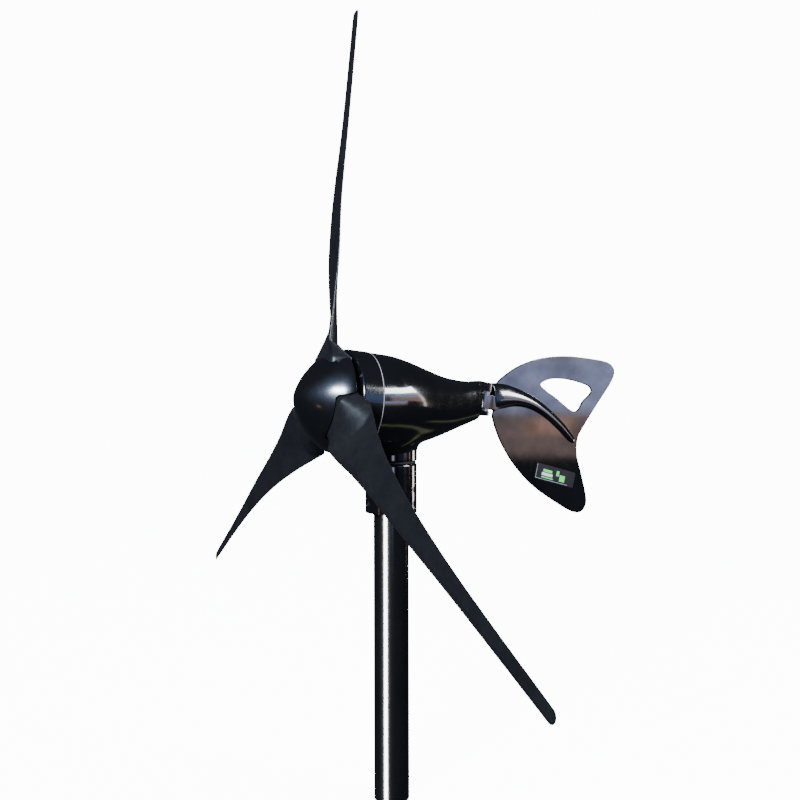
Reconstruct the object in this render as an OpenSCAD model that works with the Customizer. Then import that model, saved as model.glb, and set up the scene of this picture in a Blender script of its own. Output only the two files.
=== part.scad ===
// Small horizontal-axis wind turbine on a mast stub.
// Frame: origin at the centre of the mast tube's lower end, +Z up along the mast,
// nose towards -Y, tail towards +Y. The nacelle turns about the mast's own line.

/* [Rotor] */
// Radius of the circle that the blade tips run on
rotor_r = 600; // [560:5:640]
// Upward tilt of the rotor axis, in degrees
axis_tilt = 5; // [3:0.5:6]
// Distance from the mast line to the plane of the blades
overhang = 100.5; // [100:0.5:103]
// Turn of the rotor at rest, in degrees, clockwise seen from the front
rotor_phase = -2; // [-10:0.5:10]

/* [Spinner] */
// Radius of the spinner's open rear edge
spinner_r = 77; // [76:0.5:78]
// Depth of the spinner dome
spinner_len = 63; // [60:0.5:66]
// Wall thickness of the spinner
spinner_wall = 2.5; // [2:0.25:3]

/* [Nacelle] */
// Height of the rotor axis above the mast's lower end, on the mast line
axis_h = 600; // [500:5:700]
// Radius of the generator's front cover
cover_r = 78.4; // [78:0.1:79]
// Wall thickness of the nacelle casting
shell_wall = 3.6; // [3:0.2:4]
// Radius of the neck under the nacelle
neck_r = 40; // [39:0.5:41]

/* [Mast] */
// Outer diameter of the mast tube
mast_d = 54; // [50:0.5:56]
// Wall thickness of the mast tube
mast_wall = 3; // [2:0.5:4]
// Outer diameter of the turned top end that sits in the adapter
mast_seat_d = 53; // [48:0.5:53]
// Radius of the mast adapter sleeve
sleeve_r = 39.5; // [38:0.5:40]
// Height of the adapter's lower edge
sleeve_z = 438; // [430:1:445]

/* [Tail] */
// Lean of the tail hinge to the rear, in degrees
hinge_lean = 8; // [6:1:10]
// Distance from the mast line to the tail hinge
hinge_y = 173; // [172.5:0.5:174]
// Thickness of the tail fin plate
fin_t = 4; // [3:0.5:5]
// Clearance between the fin and its slot, on each side
fin_gap = 0.05; // [0.05:0.05:0.2]

/* [Hidden] */

$fn = 64;
eps = 0.01;
play = 0.03;             // running clearance between a bolt or shaft and its bush
paint_black = "#0c0d10";
blade_black = "#1b1b1e";
steel = "#8d9094";
zinc = "#b4b6b8";

// Stations along the rotor axis, measured forward from the mast line
blade_a = overhang;
spinner_a = blade_a - 4;
cover_front_a = blade_a - 14;
seam_a = blade_a - 47;
tang_a = blade_a - 5;
tang_t = 12;
hub_plate_a = tang_a - 7.5;
clamp_a = tang_a + tang_t;
clamp_t = 4;
stator_a = 42;
stator_len = 26;
stator_r = 70;
seat_r = stator_r + 0.6;
plate_rim = stator_r - 1;
bore_r = 46.5;
magnet_r = 45.5;
gasket_t = 0.35;
plate_a = 27;
front_brg_a = 68;
rear_brg_a = 30;

// Bearings as [bore radius, outer radius, width, ball radius, number of balls]
brg_front = [10, 23.5, 14, 3.9, 8];
brg_rear = [8.5, 20, 12, 3.3, 8];
brg_yaw_low = [15, 27.5, 13, 3.7, 10];
brg_yaw_up = [10, 23.5, 14, 3.9, 8];

// Heights on the mast line
neck_z = axis_h - 83;
housing_r = 32;
adapter_top = axis_h - 86.5;
mast_top = sleeve_z + 50;
spindle_flange_z = axis_h - 104;
yaw_low_z = neck_z + 1.4;
yaw_up_z = axis_h - 46;
housing_top = axis_h - 30;
rings_z = axis_h - 26;

// Tail hinge, along its own line from a point this far above the rotor axis
hinge_rise = 6;
lug_top = [17.5, 32];
lug_low = [-22, -14.5];
lug_r = 11.5;
lug_root = [15, 22];     // half width and reach of the lug where it leaves the casting
head_h = 6.4;
head_sink = 7;
nut_h = 4.5;
nut_sink = 4.7;
hex_r = 9;
sink_r = 10;
bolt_r = 5;
knuckle_z = [-10.5, 12];

// ---------------------------------------------------------------- helpers

function mix(a, b, t) = a + (b - a) * t;
function sgn_pow(v, p) = sign(v) * pow(abs(v), p);

// Index of the table row that starts the span holding x
function span(tab, x, i = 0) = i >= len(tab) - 2 || x < tab[i + 1][0] ? i : span(tab, x, i + 1);

// Slope of a table's curve at row i, from its neighbours
function slope(tab, i) = let (a = max(0, i - 1), b = min(len(tab) - 1, i + 1))
    (tab[b] - tab[a]) / (tab[b][0] - tab[a][0]);

// Smooth cubic curve through the rows of a table; each row is [x, values...]
function curve(tab, x) = let (i = span(tab, x), w = tab[i + 1][0] - tab[i][0],
    t = (x - tab[i][0]) / w, t2 = t * t, t3 = t2 * t)
    (2 * t3 - 3 * t2 + 1) * tab[i] + (t3 - 2 * t2 + t) * w * slope(tab, i)
    + (3 * t2 - 2 * t3) * tab[i + 1] + (t3 - t2) * w * slope(tab, i + 1);

// Closed smooth outline through points, with n steps for each span
function loop_curve(p, n) = [for (i = [0:len(p) - 1], k = [0:n - 1])
    let (c = len(p), a = p[(i + c - 1) % c], b = p[i], d = p[(i + 1) % c], e = p[(i + 2) % c],
    t = k / n) 0.5 * (2 * b + (d - a) * t + (2 * a - 5 * b + 4 * d - e) * t * t
    + (3 * b - a - 3 * d + e) * t * t * t)];

// Solid through rings of points; every ring has the same number of points
module loft(rings) {
    n = len(rings[0]);
    m = len(rings);
    pts = [for (r = rings) for (p = r) p];
    sides = [for (i = [0:m - 2], j = [0:n - 1]) let (a = i * n + j, b = i * n + (j + 1) % n)
        each [[a, b, b + n], [a, b + n, a + n]]];
    first = [for (j = [n - 1:-1:0]) j];
    last = [for (j = [0:n - 1]) (m - 1) * n + j];
    polyhedron(points = pts, faces = concat(sides, [first, last]), convexity = 8);
}

// Frame on the rotor axis: +Z to the nose, +Y up, at distance a in front of the mast line
module on_axis(a = 0) {
    translate([0, 0, axis_h]) rotate([90 - axis_tilt, 0, 0]) translate([0, 0, a]) children();
}

// The same frame turned with the rotor
module on_rotor(a = 0) {
    on_axis(a) rotate([0, 0, -rotor_phase]) children();
}

// Frame on the tail hinge: +Z up along the leaning hinge line
module on_hinge(z = 0) {
    translate([0, hinge_y, axis_h + hinge_rise]) rotate([-hinge_lean, 0, 0])
        translate([0, 0, z]) children();
}

module ring(r_out, r_in, h) {
    rotate_extrude() translate([r_in, 0]) square([r_out - r_in, h]);
}

module around(count, r, start = 0) {
    for (i = [0:count - 1]) rotate([0, 0, start + i * 360 / count]) translate([r, 0, 0]) children();
}

// Bearing races with a ball groove; b is one of the bearing lists
function pitch_r(b) = (b[0] + b[1]) / 2;

module inner_race(b) {
    difference() {
        ring(pitch_r(b) - b[3] * 0.45, b[0], b[2]);
        translate([0, 0, b[2] / 2]) rotate_extrude() translate([pitch_r(b), 0]) circle(r = b[3] + 0.02);
    }
}

module outer_race(b) {
    difference() {
        ring(b[1], pitch_r(b) + b[3] * 0.45, b[2]);
        translate([0, 0, b[2] / 2]) rotate_extrude() translate([pitch_r(b), 0]) circle(r = b[3] + 0.3);
    }
}

module balls(b) {
    around(b[4], pitch_r(b)) translate([0, 0, b[2] / 2]) sphere(r = b[3], $fn = 32);
}

// Hexagon-head screw along +Z, head at the origin's upper side
module hex_head(r, h) {
    cylinder(r = r, h = h, $fn = 6);
}

// Socket-head screw: shank from z = 0 down, head above
module socket_screw(r, len, head_r, head_h) {
    difference() {
        union() {
            translate([0, 0, -len]) cylinder(r = r, h = len + eps);
            cylinder(r = head_r, h = head_h);
        }
        translate([0, 0, head_h * 0.5]) cylinder(r = r * 0.8, h = head_h, $fn = 6);
    }
}

// ---------------------------------------------------------------- mast and yaw spindle

screw_z = [sleeve_z + 14, sleeve_z + 36];
screw_r = 4;

module mast_tube() {
    color(paint_black) {
        ring(mast_d / 2, mast_d / 2 - mast_wall, sleeve_z);
        ring(mast_seat_d / 2, mast_d / 2 - mast_wall, mast_top);
    }
}

module set_screw_places() {
    for (z = screw_z) translate([0, 0, z]) for (a = [-90, 30, 150]) rotate([0, 90, a]) children();
}

module mast_adapter() {
    bore = mast_seat_d / 2 + 0.1;
    color(paint_black) difference() {
        rotate_extrude() difference() {
            union() {
                translate([0, sleeve_z]) square([sleeve_r, adapter_top - sleeve_z - 4]);
                square_top = adapter_top - 4;
                translate([0, square_top - eps]) square([sleeve_r - 4, 4 + eps]);
                translate([sleeve_r - 4, square_top]) circle(r = 4);
            }
            translate([0, sleeve_z - 1]) square([bore, spindle_flange_z + 6 - sleeve_z + 1]);
            translate([0, adapter_top - 20]) square([18, 30]);
        }
        set_screw_places() cylinder(r = screw_r, h = 60);
        around(4, 22, 45) translate([0, 0, spindle_flange_z + 5]) cylinder(r = 2.5, h = 10);
    }
}

module mast_set_screws() {
    len = 12;
    color(zinc) set_screw_places() translate([0, 0, mast_seat_d / 2]) difference() {
        cylinder(r = screw_r, h = len);
        translate([0, 0, len - 4]) cylinder(r = 2.3, h = 5, $fn = 6);
    }
}

module yaw_spindle() {
    low_end = yaw_low_z + brg_yaw_low[2] + 1;
    color(steel) difference() {
        rotate_extrude() polygon([[6, spindle_flange_z], [26, spindle_flange_z],
            [26, spindle_flange_z + 6], [18, spindle_flange_z + 6], [18, yaw_low_z],
            [15, yaw_low_z], [15, low_end], [12.5, low_end], [12.5, yaw_up_z],
            [10, yaw_up_z], [10, yaw_up_z + 16], [8, yaw_up_z + 16], [8, rings_z + 25], [6, rings_z + 25]]);
        around(4, 22, 45) translate([0, 0, spindle_flange_z - 1]) cylinder(r = 2.6, h = 8);
    }
}

module spindle_screws() {
    color(zinc) around(4, 22, 45) translate([0, 0, spindle_flange_z]) rotate([180, 0, 0])
        socket_screw(2.5, 14, 4, 4);
}

module yaw_seal() {
    color("#202022") translate([0, 0, adapter_top]) ring(38, 18, 3);
}

module lower_yaw_inner_race() {
    color(zinc) translate([0, 0, yaw_low_z]) inner_race(brg_yaw_low);
}

module lower_yaw_balls() {
    color(zinc) translate([0, 0, yaw_low_z]) balls(brg_yaw_low);
}

module upper_yaw_inner_race() {
    color(zinc) translate([0, 0, yaw_up_z]) inner_race(brg_yaw_up);
}

module upper_yaw_balls() {
    color(zinc) translate([0, 0, yaw_up_z]) balls(brg_yaw_up);
}

// Open ring that sits on the spindle above the upper bearing
module spindle_circlip() {
    color(steel) translate([0, 0, yaw_up_z + brg_yaw_up[2]]) difference() {
        ring(13, 10, 1.5);
        translate([-2, 0, -1]) cube([4, 20, 4]);
    }
}

module slip_ring_sleeve() {
    color("#4a3a2c") translate([0, 0, rings_z]) ring(11, 8, 24);
}

ring_gap = 7.5;

module slip_rings() {
    color("#b98a3c") for (i = [0:2]) translate([0, 0, rings_z + 2.5 + i * ring_gap]) ring(13, 11, 4);
}

// ---------------------------------------------------------------- nacelle

// Nacelle sections: [y, centre height, half height, half width, lean, squareness]
shell_tab = [
    [-52.9, 4.63, 77.2, 77.2, 5.0, 2.0],
    [-34.0, 4.4, 76.0, 76.0, 4.8, 2.0],
    [-10.0, 4.6, 72.8, 73.5, 4.0, 2.0],
    [18.0, 3.0, 67.4, 67.5, 3.0, 2.0],
    [50.0, 0.6, 58.8, 58.0, 3.0, 2.0],
    [85.0, -0.4, 47.8, 46.5, 4.0, 2.1],
    [115.0, 1.6, 40.0, 37.0, 6.0, 2.2],
    [140.0, 4.8, 35.0, 29.5, 8.0, 2.4],
    [160.0, 8.5, 29.4, 24.0, 0.0, 2.6]];
shell_y = [-52.9, -46, -40, -39, -34, -26, -18, -10, 0, 10, 20, 30, 40, 50, 62, 74, 86, 98,
    110, 122, 134, 144, 152, 160];
seat_y = -40;

// One section ring; inset is the wall thickness taken off
function shell_ring(y, inset, n = 40) = let (s = curve(shell_tab, y), hh = s[2] - inset, hw = s[3] - inset)
    [for (i = [0:n - 1]) let (t = 360 * i / n, q = 2 / s[5], u = hw * sgn_pow(cos(t), q),
    v = hh * sgn_pow(sin(t), q)) [u, y + v * sin(s[4]), axis_h + s[1] + v * cos(s[4])]];

// Round seat for the generator, in line with the rotor axis
function seat_ring(y, n = 40) = [for (i = [0:n - 1]) let (v = seat_r * sin(360 * i / n))
    [seat_r * cos(360 * i / n), y + v * sin(axis_tilt), axis_h - y * tan(axis_tilt) + v * cos(axis_tilt)]];
function inner_ring(y) = y <= seat_y ? seat_ring(y) : shell_ring(y, shell_wall);

module hinge_lug(z) {
    w = lug_root[0];
    root = -lug_root[1];
    on_hinge(z[0]) linear_extrude(z[1] - z[0]) {
        circle(r = lug_r);
        polygon([[-w, root], [w, root], [lug_r, 0], [-lug_r, 0]]);
    }
}

module nacelle_shell() {
    back_y = 156;
    inner_y = [for (i = [len(shell_y) - 1:-1:0]) min(shell_y[i], back_y)];
    rings = concat([for (y = inner_y) inner_ring(y)], [for (y = shell_y) shell_ring(y, 0)]);
    color(paint_black) difference() {
        union() {
            loft(rings);
            neck();
            hinge_lug(lug_top);
            hinge_lug(lug_low);
        }
        translate([0, 0, neck_z - 1]) cylinder(r = housing_r, h = 40);
        on_hinge(lug_low[0] - 10) cylinder(r = bolt_r, h = 80);
        on_hinge(lug_top[1] - head_sink) cylinder(r = sink_r, h = 20);
        on_hinge(lug_low[0] - 15) cylinder(r = sink_r, h = 15 + nut_sink);
        around_cover_screws() translate([0, 0, seam_a - 12]) cylinder(r = 2, h = 20);
    }
}

// Neck under the nacelle; its upper end is cut to the round of the belly's inner side
module neck() {
    belly_r = 66;
    belly_slope = 6.8;
    difference() {
        translate([0, 0, neck_z]) cylinder(r = neck_r, h = 38);
        translate([0, 0, neck_z + 20.3 + belly_r]) rotate([90 + belly_slope, 0, 0])
            cylinder(r = belly_r, h = 200, center = true);
    }
}

module yaw_housing() {
    low = brg_yaw_low[1];
    up = brg_yaw_up[1];
    shoulder = yaw_low_z + brg_yaw_low[2];
    color(steel) rotate_extrude() polygon([[low, neck_z], [housing_r, neck_z], [housing_r, neck_z + 16.5],
        [28, neck_z + 16.5], [28, housing_top], [up, housing_top], [up, yaw_up_z], [20, yaw_up_z],
        [20, shoulder], [low, shoulder]]);
}

module housing_circlip() {
    color(steel) translate([0, 0, neck_z + 0.1]) difference() {
        ring(brg_yaw_low[1], 24, 1.2);
        translate([-2, 0, -1]) cube([4, 40, 4]);
    }
}

module lower_yaw_outer_race() {
    color(zinc) translate([0, 0, yaw_low_z]) outer_race(brg_yaw_low);
}

module upper_yaw_outer_race() {
    color(zinc) translate([0, 0, yaw_up_z]) outer_race(brg_yaw_up);
}

holder_y = 17;

module brush_holder() {
    color("#3b2f28") difference() {
        union() {
            translate([0, 0, housing_top]) linear_extrude(3) intersection() {
                difference() {
                    circle(r = 28);
                    circle(r = 20);
                }
                translate([-14, 0]) square([28, 40]);
            }
            translate([-9, holder_y, housing_top]) cube([18, 11, 28]);
        }
        for (i = [0:2]) translate([-3, 0, rings_z + 2 + i * ring_gap]) cube([6, holder_y + 9, 5]);
    }
}

module brushes() {
    color("#2b2b2d") for (i = [0:2]) translate([-2.9, 13.3, rings_z + 2.1 + i * ring_gap])
        cube([5.8, holder_y + 7 - 13.3, 4.8]);
}

module brush_springs() {
    color(zinc) for (i = [0:2]) translate([-2.9, holder_y + 7, rings_z + 2.1 + i * ring_gap])
        cube([5.8, 2, 4.8]);
}

cover_screw_r = 74.2;

module around_cover_screws() {
    on_axis() around(6, cover_screw_r, 30) children();
}

module front_cover() {
    round_r = 4;
    wall_a = cover_front_a - 4.5;
    brg = brg_front[1];
    color(paint_black) difference() {
        on_axis() rotate_extrude() difference() {
            union() {
                translate([0, seam_a + 1.2]) square([cover_r, cover_front_a - round_r - seam_a - 1.2]);
                translate([0, seam_a]) square([cover_r - 1.4, 2]);
                translate([0, cover_front_a - round_r]) square([cover_r - round_r, round_r]);
                translate([cover_r - round_r, cover_front_a - round_r]) circle(r = round_r);
            }
            difference() {
                translate([0, seam_a - 1]) square([stator_r + 0.3, wall_a - seam_a + 1]);
                translate([0, front_brg_a - 1.5]) square([brg + 4, 30]);
            }
            translate([0, front_brg_a - 5]) square([brg, brg_front[2] + 5]);
            square([17.5, 200]);
        }
        around_cover_screws() {
            translate([0, 0, seam_a - 5]) cylinder(r = 2, h = 80);
            translate([0, 0, cover_front_a - 4]) cylinder(r = 3.2, h = 10);
        }
        around_plate_bolts() translate([0, 0, wall_a - 1]) cylinder(r = 2.5, h = 4);
    }
}

// Flat gasket with a lip that shows in the step of the cover's edge
module cover_gasket() {
    lip_r = cover_r - 0.5;
    color("#8f9194") on_axis(seam_a - gasket_t) difference() {
        union() {
            ring(lip_r, stator_r + 0.3, gasket_t);
            ring(lip_r, cover_r - 1.35, gasket_t + 1.1);
        }
        around(6, cover_screw_r, 30) translate([0, 0, -1]) cylinder(r = 2, h = 3);
    }
}

module cover_screws() {
    head_a = cover_front_a - 4;
    color(steel) around_cover_screws() translate([0, 0, head_a])
        socket_screw(2, head_a - seam_a + 10, 3.2, 3);
}

module shaft_seal() {
    color("#202022") on_axis(cover_front_a - 4.4) ring(17.5, 10 + play, 4);
}

module front_outer_race() {
    color(zinc) on_axis(front_brg_a) outer_race(brg_front);
}

slots = 18;
slot_w = 7;
slot_r = [51, 61.5];
plate_bolt_r = 65.2;

module around_plate_bolts() {
    on_axis() around(4, plate_bolt_r, 45) children();
}

module stator_core() {
    color("#6e7072") difference() {
        on_axis(stator_a) linear_extrude(stator_len) difference() {
            circle(r = stator_r);
            circle(r = bore_r);
            around(slots, 0) translate([slot_r[0], -slot_w / 2]) square([slot_r[1] - slot_r[0], slot_w]);
            around(slots, 0) translate([bore_r - 1, -1.5]) square([slot_r[0] - bore_r + 2, 3]);
        }
        around_plate_bolts() translate([0, 0, stator_a - 1]) cylinder(r = 2.6, h = stator_len + 2);
    }
}

module stator_windings() {
    over = 6.5;
    mid = (slot_r[0] + slot_r[1]) / 2;
    bar = slot_w - 1;
    color("#a5562a") {
        on_axis(stator_a - over) linear_extrude(stator_len + 2 * over)
            around(slots, 0) translate([slot_r[0] + 1, -bar / 2]) square([slot_r[1] - slot_r[0] - 2, bar]);
        for (a = [stator_a - over, stator_a + stator_len]) on_axis(a) ring(mid + 5, mid - 5, over);
    }
}

module rear_bearing_plate() {
    brg = brg_rear[1];
    eye = 15;
    color(steel) difference() {
        on_axis() rotate_extrude() union() {
            translate([eye, plate_a]) square([plate_rim - eye, 5]);
            translate([eye, plate_a]) square([brg + 4 - eye, rear_brg_a + brg_rear[2] - plate_a + 1]);
            translate([slot_r[1], plate_a]) square([plate_rim - slot_r[1], stator_a - plate_a]);
        }
        on_axis(rear_brg_a) cylinder(r = brg, h = 30);
        around_plate_bolts() translate([0, 0, plate_a - 1]) cylinder(r = 2.6, h = 30);
        on_axis(plate_a - 1) around(4, 43) cylinder(r = 13, h = 7);
    }
}

module plate_bolts() {
    reach = cover_front_a - 1.5 - plate_a;
    color(zinc) around_plate_bolts() translate([0, 0, plate_a]) rotate([180, 0, 0])
        socket_screw(2.5, reach, 3.7, 4);
}

module rear_outer_race() {
    color(zinc) on_axis(rear_brg_a) outer_race(brg_rear);
}

module hinge_bolt() {
    seat = lug_top[1] - head_sink;
    color(steel) {
        on_hinge(lug_low[0]) cylinder(r = bolt_r - play, h = seat - lug_low[0] + eps);
        on_hinge(seat) hex_head(hex_r, head_h);
    }
}

module hinge_nut() {
    color(steel) on_hinge(lug_low[0] + nut_sink - nut_h) difference() {
        hex_head(hex_r, nut_h);
        translate([0, 0, -1]) cylinder(r = bolt_r, h = 10);
    }
}

// Thrust washers above and below the knuckle
module hinge_washers() {
    gap = 0.15;
    color(zinc) {
        on_hinge(knuckle_z[1] + gap) ring(10, bolt_r, lug_top[0] - knuckle_z[1] - gap);
        on_hinge(lug_low[1]) ring(10, bolt_r, knuckle_z[0] - gap - lug_low[1]);
    }
}

// ---------------------------------------------------------------- rotor

module rotor_shaft() {
    shoulder = hub_plate_a - 0.1;
    color(steel) difference() {
        on_rotor() rotate_extrude() polygon([[0, rear_brg_a - 0.3], [8.5, rear_brg_a - 0.3],
            [8.5, rear_brg_a + 13], [10, rear_brg_a + 13], [10, shoulder], [8.5, shoulder],
            [8.5, tang_a], [8, tang_a], [8, tang_a + 14], [0, tang_a + 14]]);
        on_rotor(hub_plate_a) key_shape();
    }
}

module key_shape() {
    translate([-2.5, 6, 0.5]) cube([5, 5, 6]);
}

module shaft_key() {
    color(zinc) on_rotor(hub_plate_a) key_shape();
}

module rotor_core() {
    color("#7a7c7e") on_rotor() {
        translate([0, 0, stator_a]) ring(40.5, 30, stator_len);
        translate([0, 0, stator_a + 8]) ring(30 + eps, 10, 8);
        translate([0, 0, stator_a + 4]) ring(16, 10, 16);
    }
}

poles = 12;

module rotor_magnets() {
    color("#54565a") on_rotor(stator_a + 1) intersection() {
        ring(magnet_r, 40.5, stator_len - 2);
        linear_extrude(stator_len) around(poles, 0) polygon([[0, 0], [60, -13], [60, 13]]);
    }
}

module front_inner_race() {
    color(zinc) on_rotor(front_brg_a) inner_race(brg_front);
}

module front_balls() {
    color(zinc) on_rotor(front_brg_a) balls(brg_front);
}

module rear_inner_race() {
    color(zinc) on_rotor(rear_brg_a) inner_race(brg_rear);
}

module rear_balls() {
    color(zinc) on_rotor(rear_brg_a) balls(brg_rear);
}

plate_r = 44;
// Blade bolts of one blade, as [sideways, outward]
bolt_spots = [[-16, 36], [16, 36], [0, 30]];

module at_blade_bolts() {
    for (k = [0:2]) rotate([0, 0, -120 * k]) for (p = bolt_spots) translate(p) children();
}

module hub() {
    color(steel) on_rotor(hub_plate_a) difference() {
        cylinder(r = plate_r, h = tang_a - hub_plate_a);
        translate([0, 0, -1]) cylinder(r = 8.5, h = 20);
        key_shape();
        at_blade_bolts() translate([0, 0, -1]) cylinder(r = 4, h = 20);
    }
}

module hub_washer() {
    color(zinc) on_rotor(tang_a) ring(14, 8, 2.5);
}

module hub_nut() {
    color(zinc) on_rotor(tang_a + 2.5) difference() {
        hex_head(13.8, 8);
        translate([0, 0, -1]) cylinder(r = 8, h = 20);
    }
}

// Blade sections: [radius, chord, pitch, sideways offset, forward offset, thickness share]
blade_tab = [
    [40, 93, 28.0, -4.0, 2.0, 0.24],
    [75, 92, 27.0, -3.6, 3.5, 0.21],
    [110, 83, 24.5, -1.6, 5.8, 0.18],
    [160, 66.5, 16.5, -1.4, 8.8, 0.15],
    [220, 54, 7.5, 0.0, 10.9, 0.14],
    [300, 40, 4.5, 1.0, 11.6, 0.13],
    [420, 25.5, 1.5, 2.6, 6.6, 0.14],
    [600, 16.4, -4.5, 0.5, 0.0, 0.17]];
blade_stations = [46, 50, 54, 58, 61, 64, 67, 70, 74, 78, 82, 88, 95, 104, 115, 130, 145, 160, 180,
    200, 220, 245, 270, 300, 335, 375, 420, 465, 510, 555, 600];
shoulder_w = 39.5;
shoulder_d = 15.5;

// Thick shoulder at the root, wider to the rear
function shoulder_point(t) = let (c = sgn_pow(cos(t), 0.3), s = sgn_pow(sin(t), 0.3))
    [shoulder_w * c * (1 - 0.18 * s), 4 + shoulder_d * s];

// Cambered aerofoil with its leading edge on the +X side, pitched forward
function foil_point(t, f) = let (x = f[1] / 2 * cos(t),
    y = f[1] / 2 * f[5] * sin(t) * (0.75 + 0.25 * cos(t)) - 0.03 * f[1] * sin(t) * sin(t))
    [f[3] + x * cos(f[2]) - y * sin(f[2]), f[4] + x * sin(f[2]) + y * cos(f[2])];

// Keeps the root clear of the generator cover behind it
function clear_cover(p, r) = let (reach = sqrt(r * r + p[0] * p[0]))
    [p[0], max(p[1], -11.5 - 1.2 * max(0, reach - 80))];

// Share of the aerofoil in a section; the shoulder runs out slowest in front of the trailing side
function foil_share(r, t) = min(1, max(0, (r - 61) / (22 + 46 * max(0, sin(t)) * (1 - cos(t)) / 2)));

function blade_ring(r, n = 28) = let (f = curve(blade_tab, r * 600 / rotor_r))
    [for (i = [0:n - 1]) let (t = 360 * i / n,
    p = clear_cover(mix(shoulder_point(t), foil_point(t, f), foil_share(r, t)), r)) [p[0], r, p[1]]];

module blade() {
    stations = [for (r = blade_stations) r == 600 ? rotor_r : r];
    difference() {
        union() {
            translate([0, 0, blade_a]) loft([for (r = stations) blade_ring(r)]);
            translate([-30, 20, tang_a]) cube([60, 29, tang_t]);
        }
        for (p = bolt_spots) translate([p[0], p[1], tang_a - 1]) cylinder(r = 4.1, h = tang_t + 2);
    }
}

module blade_1() {
    color(blade_black) on_rotor() blade();
}

module blade_2() {
    color(blade_black) on_rotor() rotate([0, 0, -120]) blade();
}

module blade_3() {
    color(blade_black) on_rotor() rotate([0, 0, -240]) blade();
}

grommet_spot = 36;

module at_grommets() {
    around(3, grommet_spot, 30) children();
}

module blade_clamp_plate() {
    color(steel) on_rotor(clamp_a) difference() {
        ring(plate_r, 20, clamp_t);
        at_blade_bolts() translate([0, 0, -1]) cylinder(r = 4.1, h = 10);
        at_grommets() translate([0, 0, -1]) cylinder(r = 5, h = 10);
    }
}

module blade_bolts() {
    top = clamp_a + clamp_t;
    color(zinc) on_rotor(top) at_blade_bolts() {
        hex_head(7, 5.3);
        translate([0, 0, hub_plate_a + 0.3 - top]) cylinder(r = 4, h = top - hub_plate_a);
    }
}

// Radius of the dome at depth z in front of its rear edge
dome_power = 1.4;
function dome_r(z, r, len) = r * pow(max(0, 1 - pow(z / len, dome_power)), 1 / dome_power);
function dome_half(r, len, n = 30) = [for (i = [0:n]) let (z = len * sin(90 * i / n)) [dome_r(z, r, len), z]];

module dome(r, len) {
    rotate_extrude($fn = 96) polygon(concat([[0, 0]], dome_half(r, len)));
}

// Opening for one blade shoulder, wider at the rear edge
module blade_slot() {
    front = 25;
    rotate([-90, 0, 0]) linear_extrude(100) hull() {
        for (x = [-1, 1]) translate([x * 30, -front + 4]) circle(r = 4, $fn = 32);
        translate([-48, 0]) square([96, 10]);
    }
}

module spinner() {
    color(paint_black) on_rotor(spinner_a) {
        difference() {
            dome(spinner_r, spinner_len);
            translate([0, 0, -eps]) dome(spinner_r - spinner_wall, spinner_len - spinner_wall);
            for (k = [0:2]) rotate([0, 0, -120 * k]) blade_slot();
        }
        spinner_posts();
    }
}

// Pegs inside the dome that push into the grommets
module spinner_posts() {
    base = clamp_a + 0.5 - spinner_a;
    intersection() {
        at_grommets() translate([0, 0, base]) cylinder(r = 3, h = spinner_len);
        dome(spinner_r - 1, spinner_len - 1);
    }
}

module spinner_grommets() {
    color("#202022") on_rotor(clamp_a) at_grommets() {
        ring(5, 3, clamp_t);
        translate([0, 0, clamp_t]) ring(7, 3, 1.5);
    }
}

// ---------------------------------------------------------------- tail

// Tail arm sections: [y, centre height, half height, lean, half thickness]
arm_tab = [
    [191.6, 13.6, 23.7, -4.6, 8.5],
    [197, 14.2, 23.4, 4, 9.5],
    [204, 15, 22.4, 8, 10],
    [216, 15.2, 20.6, 10, 10],
    [243, 12.4, 15.4, 19, 9.5],
    [273.5, 3.6, 12.0, 33, 8.5],
    [305.5, -13.8, 10.0, 46, 8],
    [336, -36.8, 9.2, 52, 7.5],
    [360, -59.5, 7.6, 56, 6.5],
    [364.5, -64.3, 5.0, 56, 4.5],
    [366, -66, 2.4, 56, 2.6]];
arm_y = [191.6, 194, 197, 200, 204, 212, 220, 230, 240, 250, 262, 274, 286, 298, 310, 322, 334, 346, 356, 360,
    362.5, 364.5, 366];

// Egg-shaped section, narrower towards the top edge
function arm_ring(y, n = 24) = let (s = curve(arm_tab, y)) [for (i = [0:n - 1])
    let (t = 360 * i / n, u = s[4] * cos(t) * (1 - 0.35 * sin(t)), v = s[2] * sin(t))
    [u, y + v * sin(s[3]), axis_h + s[1] + v * cos(s[3])]];

// Fin outline, clockwise from the front top, as [y, height above the axis]
fin_points = [[199, 35], [216, 50.5], [246, 67], [280, 78], [315, 84], [355, 86], [400, 83.5],
    [444, 78], [461, 68], [463, 55], [452, 36], [424, 3.5], [388, -40], [375.5, -60], [373.5, -88],
    [383, -120], [395, -165], [390, -184], [377, -190.5], [357, -186], [325, -169], [287, -146],
    [257, -122.5], [229, -93], [208, -62], [196, -37], [190, -17], [191.5, -11], [198, 6]];
hole_points = [[293, 36], [312, 44.5], [340, 45.5], [370, 41.5], [399, 34], [407, 26], [402, 18],
    [387, 6.5], [377, -7.5], [366, -11], [352, -4.5], [326, 13], [304, 25.5]];
// Fin screws as [y, height above the axis, half thickness of the arm there]
fin_screw_spots = [[222, 15, 9.9], [262, 7.5, 8.9], [320, -24.5, 7.8]];
screw_sink = 2;

module in_fin_plane() {
    translate([0, 0, axis_h]) rotate([90, 0, 90]) children();
}

module fin_slot() {
    w = fin_t + 2 * fin_gap;
    in_fin_plane() translate([0, 0, -w / 2]) linear_extrude(w)
        polygon([[197.5, 60], [197.5, 30], [189.5, -11], [186, -18], [186, -120], [480, -120], [480, 60]]);
}

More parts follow.
